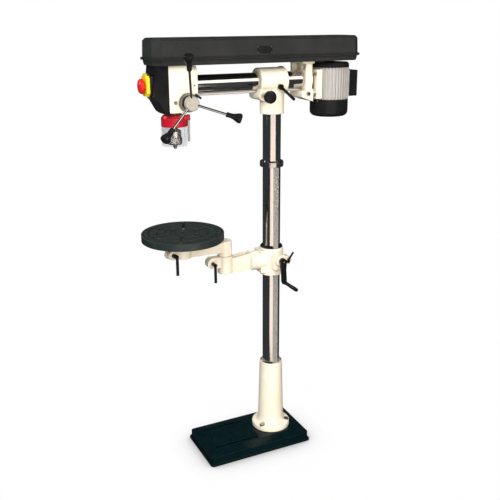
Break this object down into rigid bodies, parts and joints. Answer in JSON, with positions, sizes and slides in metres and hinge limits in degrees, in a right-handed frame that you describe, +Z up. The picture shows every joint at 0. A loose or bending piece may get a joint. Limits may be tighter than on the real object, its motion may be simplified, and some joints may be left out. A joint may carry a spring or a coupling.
{
  "type": "radial drill press",
  "caption": "Floor-standing drill press with a sliding, swivelling ram head, round slotted table on a geared arm, belt cover, rear motor and three-lever feed.",
  "frame": {"origin": "on the column's axis, at the floor face under the base", "axes": "+Z up along the column; -Y forward, towards the spindle and table; +Y back, towards the motor; +X the side of the feed levers and the table's crank"},
  "size_m": [0.3338, 0.9125, 1.668],
  "materials": {
    "base_enamel": "gloss enamel",
    "cast_enamel": "semi-gloss cast enamel",
    "column_chrome": "polished",
    "ram_chrome": "polished",
    "rack_steel": "machined",
    "ring_steel": "polished",
    "zinc": "zinc plated",
    "machined_steel": "machined",
    "black_enamel": "gloss",
    "black_plastic": "gloss",
    "table_iron": "ground and oiled",
    "cover_wrinkle": "wrinkle",
    "chuck_steel": "ground",
    "rod_chrome": "polished",
    "hub_metal": "bead blasted",
    "guard_plastic": "gloss",
    "shield_clear": "clear",
    "pulley_alloy": "cast",
    "belt_rubber": "matt",
    "motor_silver": "satin silver",
    "motor_black": "satin",
    "switch_black": "fine texture",
    "switch_yellow": "gloss",
    "stop_red": "gloss",
    "start_green": "gloss"
  },
  "bodies": {
    "stand": {"base": "base_enamel", "column_support": "cast_enamel", "stand_fasteners": "zinc", "column": "column_chrome", "rack_ring": "ring_steel"},
    "column_rack": {"column_rack": "rack_steel"},
    "bracket": {"table_bracket": "cast_enamel", "tilt_bolt": "zinc"},
    "worm": {"worm_shaft": "machined_steel", "table_crank": "black_enamel"},
    "crank_grip": {"crank_grip": "black_plastic"},
    "lift_gear": {"lift_gear": "machined_steel"},
    "bracket_lock": {"bracket_lock": "zinc"},
    "arm": {"table_arm": "cast_enamel"},
    "arm_lock": {"arm_lock_handle": "black_enamel"},
    "link": {"table_link": "cast_enamel"},
    "table_lock": {"table_lock_handle": "black_enamel"},
    "table": {"table": "table_iron"},
    "clamp": {"cross_clamp": "cast_enamel"},
    "column_lock": {"column_lock_lever": "black_enamel"},
    "ram_lock": {"ram_lock_lever": "black_enamel"},
    "ram_pinion": {"ram_pinion": "machined_steel", "ram_knob": "black_plastic"},
    "ram_rack": {"ram_rack": "rack_steel"},
    "head": {"ram": "ram_chrome", "head_casting": "cast_enamel", "head_fasteners": "zinc", "head_front_cover": "black_enamel", "spring_cap": "black_enamel", "return_spring": "machined_steel", "cover_tray": "cover_wrinkle", "drive_belt": "belt_rubber", "motor_mount": "cast_enamel", "switch_box": "switch_black"},
    "lid": {"cover_lid": "cover_wrinkle"},
    "quill": {"quill": "machined_steel", "quill_bearings": "machined_steel", "guard_collar": "guard_plastic", "guard_fasteners": "zinc"},
    "shield": {"guard_shield": "shield_clear"},
    "spindle": {"spindle": "machined_steel", "chuck": "chuck_steel", "chuck_jaws": "machined_steel"},
    "feed": {"feed_shaft": "hub_metal", "feed_levers": "rod_chrome", "feed_knobs": "black_plastic"},
    "depth_ring": {"depth_ring": "black_enamel"},
    "spindle_pulley": {"spindle_pulley": "pulley_alloy"},
    "motor": {"motor_plate": "cast_enamel", "motor_fasteners": "zinc", "motor_body": "motor_silver", "motor_bell": "motor_black", "fan_cover": "motor_black", "junction_box": "motor_black"},
    "rotor": {"motor_rotor": "machined_steel", "motor_pulley": "pulley_alloy"},
    "switch_lid": {"switch_lid": "switch_yellow"},
    "stop_mushroom": {"stop_mushroom": "stop_red"},
    "start_button": {"start_button": "start_green"},
    "stop_button": {"stop_button": "stop_red"}
  },
  "joints": [
    {"name": "rack_swing", "type": "hinge", "parent": "stand", "child": "column_rack", "pos_m": [0, 0, 1], "axis": [0, 0, 1], "continuous": true},
    {"name": "table_lift", "type": "slide", "parent": "column_rack", "child": "bracket", "axis": [0, 0, 1], "range_m": [-0.385, 0.295]},
    {"name": "lift_gear_spin", "type": "hinge", "parent": "bracket", "child": "lift_gear", "pos_m": [0.05364, 0, 0.802], "axis": [0, 1, 0], "continuous": true},
    {"name": "crank_spin", "type": "hinge", "parent": "bracket", "child": "worm", "pos_m": [0.1, 0, 0.8218], "axis": [1, 0, 0], "continuous": true},
    {"name": "crank_grip_spin", "type": "hinge", "parent": "worm", "child": "crank_grip", "pos_m": [0.15, 0.006, 0.7358], "axis": [1, 0, 0], "continuous": true},
    {"name": "bracket_clamp", "type": "hinge", "parent": "bracket", "child": "bracket_lock", "pos_m": [0, 0.066, 0.791], "axis": [1, 0, 0], "range_deg": [-20, 60]},
    {"name": "arm_tilt", "type": "hinge", "parent": "bracket", "child": "arm", "pos_m": [0, -0.1, 0.81], "axis": [0, 1, 0], "range_deg": [-45, 45]},
    {"name": "arm_clamp", "type": "hinge", "parent": "arm", "child": "arm_lock", "pos_m": [0, -0.262, 0.827], "axis": [1, 0, 0], "range_deg": [-60, 20]},
    {"name": "link_swing", "type": "hinge", "parent": "arm", "child": "link", "pos_m": [0, -0.204, 0.88], "axis": [0, 0, 1], "range_deg": [-90, 60]},
    {"name": "table_clamp", "type": "hinge", "parent": "link", "child": "table_lock", "pos_m": [0.06407, -0.44823, 0.906], "axis": [0.9673, 0.2538, 0], "range_deg": [-60, 20]},
    {"name": "table_spin", "type": "hinge", "parent": "link", "child": "table", "pos_m": [0.04986, -0.39407, 0.96], "axis": [0, 0, 1], "continuous": true},
    {"name": "clamp_swivel", "type": "hinge", "parent": "stand", "child": "clamp", "pos_m": [0, 0, 1.42], "axis": [0, 0, 1], "continuous": true},
    {"name": "column_clamp", "type": "hinge", "parent": "clamp", "child": "column_lock", "pos_m": [-0.0525, 0, 1.421], "axis": [-1, 0, 0], "range_deg": [-30, 60]},
    {"name": "ram_clamp", "type": "hinge", "parent": "clamp", "child": "ram_lock", "pos_m": [0.0565, 0.004, 1.4892], "axis": [1, 0, 0], "range_deg": [0, 60]},
    {"name": "ram_travel", "type": "slide", "parent": "clamp", "child": "ram_rack", "axis": [0, 1, 0], "range_m": [-0.039, 0.238]},
    {"name": "ram_pinion_spin", "type": "hinge", "parent": "clamp", "child": "ram_pinion", "pos_m": [0.1, -0.057, 1.45816], "axis": [1, 0, 0], "continuous": true},
    {"name": "head_tilt", "type": "hinge", "parent": "ram_rack", "child": "head", "pos_m": [0, 0, 1.5072], "axis": [0, -1, 0], "range_deg": [-45, 90]},
    {"name": "lid_hinge", "type": "hinge", "parent": "head", "child": "lid", "pos_m": [-0.087, 0, 1.6003], "axis": [0, -1, 0], "range_deg": [0, 95]},
    {"name": "quill_feed", "type": "slide", "parent": "head", "child": "quill", "axis": [0, 0, -1], "range_m": [0, 0.08], "stiffness_N_per_m": 500, "springref_m": -0.08},
    {"name": "feed_spin", "type": "hinge", "parent": "head", "child": "feed", "pos_m": [0.1, -0.3623, 1.451], "axis": [1, 0, 0], "range_deg": [0, 353]},
    {"name": "depth_stop", "type": "hinge", "parent": "head", "child": "depth_ring", "pos_m": [0.07, -0.3623, 1.451], "axis": [1, 0, 0], "range_deg": [-60, 90]},
    {"name": "shield_hinge", "type": "hinge", "parent": "quill", "child": "shield", "pos_m": [0.036, -0.353, 1.34], "axis": [0, 0, 1], "range_deg": [0, 100]},
    {"name": "spindle_spin", "type": "hinge", "parent": "quill", "child": "spindle", "pos_m": [0, -0.393, 1.34], "axis": [0, 0, 1], "continuous": true},
    {"name": "spindle_pulley_spin", "type": "hinge", "parent": "head", "child": "spindle_pulley", "pos_m": [0, -0.393, 1.6], "axis": [0, 0, 1], "continuous": true},
    {"name": "motor_tension", "type": "slide", "parent": "head", "child": "motor", "axis": [0, 1, 0], "range_m": [-0.008, 0]},
    {"name": "rotor_spin", "type": "hinge", "parent": "motor", "child": "rotor", "pos_m": [0, 0.252, 1.45], "axis": [0, 0, 1], "continuous": true},
    {"name": "switch_lid_hinge", "type": "hinge", "parent": "head", "child": "switch_lid", "pos_m": [0, -0.49, 1.548], "axis": [-1, 0, 0], "range_deg": [0, 85]},
    {"name": "stop_press", "type": "slide", "parent": "switch_lid", "child": "stop_mushroom", "axis": [0, 1, 0], "range_m": [0, 0.0025], "stiffness_N_per_m": 400, "springref_m": -0.004},
    {"name": "start_press", "type": "slide", "parent": "head", "child": "start_button", "axis": [0, 1, 0], "range_m": [0, 0.003], "stiffness_N_per_m": 300, "springref_m": -0.003},
    {"name": "stop_button_press", "type": "slide", "parent": "head", "child": "stop_button", "axis": [0, 1, 0], "range_m": [0, 0.003], "stiffness_N_per_m": 300, "springref_m": -0.003}
  ],
  "couplings": [
    {"joint": "lift_gear_spin", "follows": "table_lift", "rad_per_m": -83.333},
    {"joint": "crank_spin", "follows": "table_lift", "rad_per_m": 625},
    {"joint": "ram_pinion_spin", "follows": "ram_travel", "rad_per_m": -104.17},
    {"joint": "feed_spin", "follows": "quill_feed", "rad_per_m": 76.923},
    {"joint": "spindle_pulley_spin", "follows": "spindle_spin", "ratio": 1},
    {"joint": "rotor_spin", "follows": "spindle_spin", "ratio": 2}
  ]
}
